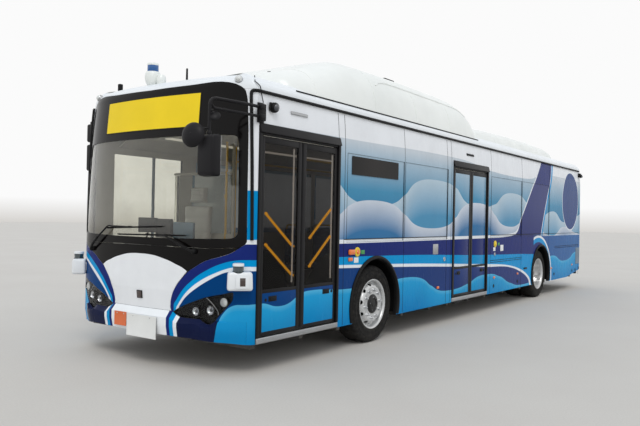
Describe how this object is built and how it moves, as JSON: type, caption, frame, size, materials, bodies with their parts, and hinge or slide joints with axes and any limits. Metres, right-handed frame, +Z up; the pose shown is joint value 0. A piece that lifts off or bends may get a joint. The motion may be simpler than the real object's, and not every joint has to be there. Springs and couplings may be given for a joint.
{
  "type": "airport passenger bus",
  "caption": "Low-floor airport passenger bus with double doors, a hollow cabin, roof pods, steered front wheels, twin rear wheels, corner sensors and a roof beacon.",
  "frame": {"origin": "centre of the overall box at ground level", "axes": "+X forward along the bus's length, +Y to the bus's left (door side), +Z up"},
  "size_m": [12.412, 2.7355, 3.42],
  "materials": {
    "body_paint": "gloss",
    "black_trim": "gloss",
    "door_black": "satin",
    "clear_glass": "clear",
    "film_glass": "gloss",
    "rubber": "matt",
    "tyre": "matt",
    "wheel_silver": "satin",
    "frame_steel": "matt",
    "floor": "matt",
    "pod_white": "satin",
    "mirror_black": "matt",
    "lamp": "clear",
    "sensor": "gloss",
    "cabin_dark": "matt",
    "seat_fabric": "matt",
    "rail_yellow": "gloss"
  },
  "bodies": {
    "body": {"floor_frame": "frame_steel", "floor_panel": "floor", "wheel_houses": "floor", "rear_platform": "floor", "wall_left": "body_paint", "wall_right": "body_paint", "roof_shell": "body_paint", "front_mask": "black_trim", "front_bumper": "body_paint", "rear_wall": "body_paint", "windscreen": "clear_glass", "side_windows": "film_glass", "door_frame_front": "door_black", "door_frame_mid": "door_black", "roof_pod_front": "pod_white", "roof_pod_rear": "pod_white", "rain_gutters": "black_trim", "arch_lips": "rubber", "lamps": "lamp", "wipers": "mirror_black", "mirror_left": "mirror_black", "mirror_right": "mirror_black", "sensor_pods": "sensor", "roof_beacon": "sensor", "dashboard": "cabin_dark", "seats": "seat_fabric", "grab_rails": "rail_yellow", "front_axle": "frame_steel", "rear_axle": "frame_steel"},
    "front_leaf_a": {"front_door_leaf_a": "door_black", "front_door_glass_a": "clear_glass"},
    "front_leaf_b": {"front_door_leaf_b": "door_black", "front_door_glass_b": "clear_glass"},
    "mid_leaf_a": {"mid_door_leaf_a": "door_black", "mid_door_glass_a": "clear_glass"},
    "mid_leaf_b": {"mid_door_leaf_b": "door_black", "mid_door_glass_b": "clear_glass"},
    "hatch": {"rear_hatch": "body_paint"},
    "steering": {"steering_wheel": "cabin_dark"},
    "hub_left": {"knuckle_left": "frame_steel"},
    "hub_right": {"knuckle_right": "frame_steel"},
    "front_wheel_left": {"front_rim_left": "wheel_silver", "front_tyre_left": "tyre"},
    "front_wheel_right": {"front_rim_right": "wheel_silver", "front_tyre_right": "tyre"},
    "rear_wheels_left": {"rear_rims_left": "wheel_silver", "rear_tyres_left": "tyre"},
    "rear_wheels_right": {"rear_rims_right": "wheel_silver", "rear_tyres_right": "tyre"}
  },
  "joints": [
    {"name": "front_leaf_a_swing", "type": "hinge", "parent": "body", "child": "front_leaf_a", "pos_m": [5.379, 1.224, 0.357], "axis": [0, 0, 1], "range_deg": [0, 88]},
    {"name": "front_leaf_b_swing", "type": "hinge", "parent": "body", "child": "front_leaf_b", "pos_m": [4.157, 1.224, 0.357], "axis": [0, 0, -1], "range_deg": [0, 88]},
    {"name": "mid_leaf_a_swing", "type": "hinge", "parent": "body", "child": "mid_leaf_a", "pos_m": [0.973, 1.224, 0.357], "axis": [0, 0, 1], "range_deg": [0, 88]},
    {"name": "mid_leaf_b_swing", "type": "hinge", "parent": "body", "child": "mid_leaf_b", "pos_m": [-0.249, 1.224, 0.357], "axis": [0, 0, -1], "range_deg": [0, 88]},
    {"name": "hatch_lift", "type": "hinge", "parent": "body", "child": "hatch", "pos_m": [-6.176, 0, 1.232], "axis": [0, 1, 0], "range_deg": [0, 75]},
    {"name": "steering_wheel_turn", "type": "hinge", "parent": "body", "child": "steering", "pos_m": [5.08, -0.6, 1.12], "axis": [-0.4226, 0, 0.9063], "range_deg": [-380, 380]},
    {"name": "left_steer", "type": "hinge", "parent": "body", "child": "hub_left", "pos_m": [3.23, 0.96, 0.465], "axis": [0, 0, 1], "range_deg": [-38, 38]},
    {"name": "front_left_spin", "type": "hinge", "parent": "hub_left", "child": "front_wheel_left", "pos_m": [3.23, 1.06, 0.465], "axis": [0, 1, 0], "continuous": true},
    {"name": "rear_left_spin", "type": "hinge", "parent": "body", "child": "rear_wheels_left", "pos_m": [-3.188, 0.9, 0.465], "axis": [0, 1, 0], "continuous": true},
    {"name": "right_steer", "type": "hinge", "parent": "body", "child": "hub_right", "pos_m": [3.23, -0.96, 0.465], "axis": [0, 0, 1], "range_deg": [-38, 38]},
    {"name": "front_right_spin", "type": "hinge", "parent": "hub_right", "child": "front_wheel_right", "pos_m": [3.23, -1.06, 0.465], "axis": [0, 1, 0], "continuous": true},
    {"name": "rear_right_spin", "type": "hinge", "parent": "body", "child": "rear_wheels_right", "pos_m": [-3.188, -0.9, 0.465], "axis": [0, 1, 0], "continuous": true}
  ],
  "couplings": [
    {"joint": "front_leaf_b_swing", "follows": "front_leaf_a_swing", "ratio": 1},
    {"joint": "mid_leaf_b_swing", "follows": "mid_leaf_a_swing", "ratio": 1},
    {"joint": "right_steer", "follows": "left_steer", "ratio": 1},
    {"joint": "steering_wheel_turn", "follows": "left_steer", "ratio": 10}
  ]
}
